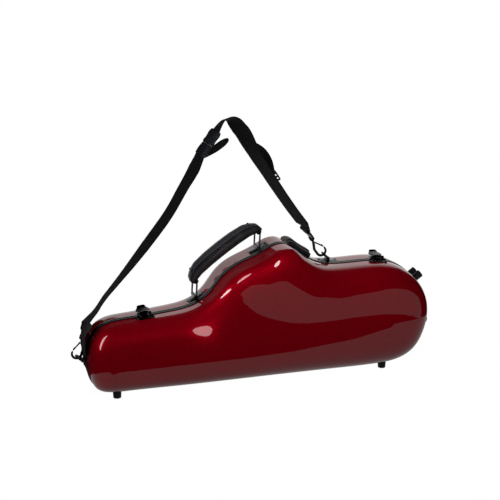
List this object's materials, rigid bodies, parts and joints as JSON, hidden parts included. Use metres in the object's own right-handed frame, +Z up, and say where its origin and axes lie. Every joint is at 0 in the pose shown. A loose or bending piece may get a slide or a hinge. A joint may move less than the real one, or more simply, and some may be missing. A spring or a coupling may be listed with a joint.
{
  "type": "shaped alto saxophone case",
  "caption": "Hard contoured saxophone case with two glossy red half shells, seam latches, ring-mounted padded handle, plush nest, rubber feet and a clip-on webbing strap.",
  "frame": {"origin": "middle of the underside of the case on its feet, strap left out", "axes": "+X along the case from the narrow end to the bell end, +Z up, the lid faces -Y"},
  "size_m": [0.6673, 0.1642, 0.4727],
  "materials": {
    "red_lacquer": "glass-fibre shell, metallic deep red under a high-gloss clear coat",
    "rim_black": "black extruded edge profile, satin gloss",
    "rubber_black": "moulded black rubber",
    "plush": "charcoal plush on foam",
    "nest_plush": "charcoal plush on cut foam",
    "leather_black": "black grained leather, stitched",
    "spring_steel": "plain spring steel strip",
    "gunmetal": "black nickel plate",
    "screw_steel": "black nickel plate",
    "bumper_black": "moulded black nylon, satin",
    "webbing_black": "woven black nylon webbing",
    "buckle_grey": "moulded dark grey acetal"
  },
  "bodies": {
    "case": {"accessory_block": "nest_plush", "back_end_feet": "rubber_black", "back_feet": "rubber_black", "back_lining": "plush", "back_rim": "rim_black", "back_screws": "screw_steel", "back_shell": "red_lacquer", "bell_cradle": "nest_plush", "bell_handle_bracket": "gunmetal", "bell_hinge_back_leaf": "gunmetal", "bell_latch_keeper": "gunmetal", "bell_strap_bracket": "gunmetal", "bell_swivel_eye": "gunmetal", "bow_cradle": "nest_plush", "buckle_plug": "buckle_grey", "buckle_socket": "buckle_grey", "hinge_pins": "gunmetal", "left_strap": "webbing_black", "left_tail": "webbing_black", "middle_cradle": "nest_plush", "narrow_handle_bracket": "gunmetal", "narrow_hinge_back_leaf": "gunmetal", "narrow_latch_keeper": "gunmetal", "narrow_strap_bracket": "gunmetal", "narrow_swivel_eye": "gunmetal", "neck_end_cradle": "nest_plush", "right_strap": "webbing_black", "seam_seal": "rubber_black", "shoulder_bumper": "bumper_black", "slider_layer": "webbing_black", "strap_slider": "gunmetal", "top_tail": "webbing_black"},
    "lid": {"front_shell": "red_lacquer", "front_rim": "rim_black", "front_lining": "plush", "lid_pad_tube": "nest_plush", "lid_pad_bow": "nest_plush", "front_feet": "rubber_black", "front_end_feet": "rubber_black", "narrow_hinge_front_leaf": "gunmetal", "bell_hinge_front_leaf": "gunmetal", "front_screws": "screw_steel", "narrow_latch_base": "gunmetal", "narrow_latch_pin": "gunmetal", "bell_latch_base": "gunmetal", "bell_latch_pin": "gunmetal"},
    "narrow_lever": {"narrow_latch_lever": "gunmetal"},
    "narrow_bail": {"narrow_latch_bail": "gunmetal"},
    "narrow_ring": {"narrow_handle_ring": "gunmetal"},
    "narrow_d_ring": {"narrow_d_ring": "gunmetal"},
    "narrow_hook": {"narrow_hook_body": "gunmetal"},
    "narrow_gate": {"narrow_hook_gate": "gunmetal"},
    "bell_lever": {"bell_latch_lever": "gunmetal"},
    "bell_bail": {"bell_latch_bail": "gunmetal"},
    "bell_ring": {"bell_handle_ring": "gunmetal"},
    "bell_d_ring": {"bell_d_ring": "gunmetal"},
    "bell_hook": {"bell_hook_body": "gunmetal"},
    "bell_gate": {"bell_hook_gate": "gunmetal"},
    "grip": {"grip_core": "spring_steel", "grip_pad": "leather_black"}
  },
  "joints": [
    {"name": "lid_open", "type": "hinge", "parent": "case", "child": "lid", "pos_m": [0.00123, 0, 0.007], "axis": [1, 0, 0], "range_deg": [0, 110]},
    {"name": "narrow_lever_lift", "type": "hinge", "parent": "lid", "child": "narrow_lever", "pos_m": [-0.21028, -0.008, 0.14116], "axis": [0.9964, 0, 0.0849], "range_deg": [0, 115]},
    {"name": "narrow_bail_follow", "type": "hinge", "parent": "narrow_lever", "child": "narrow_bail", "pos_m": [-0.21006, -0.002, 0.13857], "axis": [0.9964, 0, 0.0849], "range_deg": [-76, 0]},
    {"name": "bell_lever_lift", "type": "hinge", "parent": "lid", "child": "bell_lever", "pos_m": [0.22779, -0.008, 0.20594], "axis": [0.9959, 0, -0.0902], "range_deg": [0, 115]},
    {"name": "bell_bail_follow", "type": "hinge", "parent": "bell_lever", "child": "bell_bail", "pos_m": [0.22756, -0.002, 0.20335], "axis": [0.9959, 0, -0.0902], "range_deg": [-76, 0]},
    {"name": "handle_fold", "type": "hinge", "parent": "case", "child": "narrow_ring", "pos_m": [-0.11206, 0.02, 0.15671], "axis": [0, 1, 0], "range_deg": [-90, 25]},
    {"name": "grip_swing", "type": "hinge", "parent": "narrow_ring", "child": "grip", "pos_m": [-0.11056, 0.02, 0.18471], "axis": [0, 1, 0], "range_deg": [-25, 90]},
    {"name": "bell_ring_fold", "type": "hinge", "parent": "case", "child": "bell_ring", "pos_m": [0.00505, 0.02, 0.23793], "axis": [0, 1, 0], "range_deg": [-90, 25]},
    {"name": "narrow_d_ring_swing", "type": "hinge", "parent": "case", "child": "narrow_d_ring", "pos_m": [-0.31754, 0.018, 0.05783], "axis": [0, 1, 0], "range_deg": [0, 6]},
    {"name": "narrow_swivel_turn", "type": "hinge", "parent": "case", "child": "narrow_hook", "pos_m": [-0.31477, 0.018, 0.10509], "axis": [0.3256, 0, 0.9455], "range_deg": [-8, 8]},
    {"name": "narrow_gate_open", "type": "hinge", "parent": "narrow_hook", "child": "narrow_gate", "pos_m": [-0.32099, 0.018, 0.08947], "axis": [0, 1, 0], "range_deg": [-20, 0], "stiffness_Nm_per_rad": 0.02},
    {"name": "bell_d_ring_swing", "type": "hinge", "parent": "case", "child": "bell_d_ring", "pos_m": [0.13959, 0.018, 0.20572], "axis": [0, 1, 0], "range_deg": [-5, 5]},
    {"name": "bell_swivel_turn", "type": "hinge", "parent": "case", "child": "bell_hook", "pos_m": [0.10605, 0.018, 0.24887], "axis": [-0.5948, 0, 0.8039], "range_deg": [-8, 8]},
    {"name": "bell_gate_open", "type": "hinge", "parent": "bell_hook", "child": "bell_gate", "pos_m": [0.11669, 0.018, 0.23584], "axis": [0, 1, 0], "range_deg": [0, 20], "stiffness_Nm_per_rad": 0.02}
  ],
  "couplings": [
    {"joint": "narrow_bail_follow", "follows": "narrow_lever_lift", "ratio": -0.65},
    {"joint": "bell_bail_follow", "follows": "bell_lever_lift", "ratio": -0.65},
    {"joint": "grip_swing", "follows": "handle_fold", "ratio": -1},
    {"joint": "bell_ring_fold", "follows": "handle_fold", "ratio": 1}
  ]
}
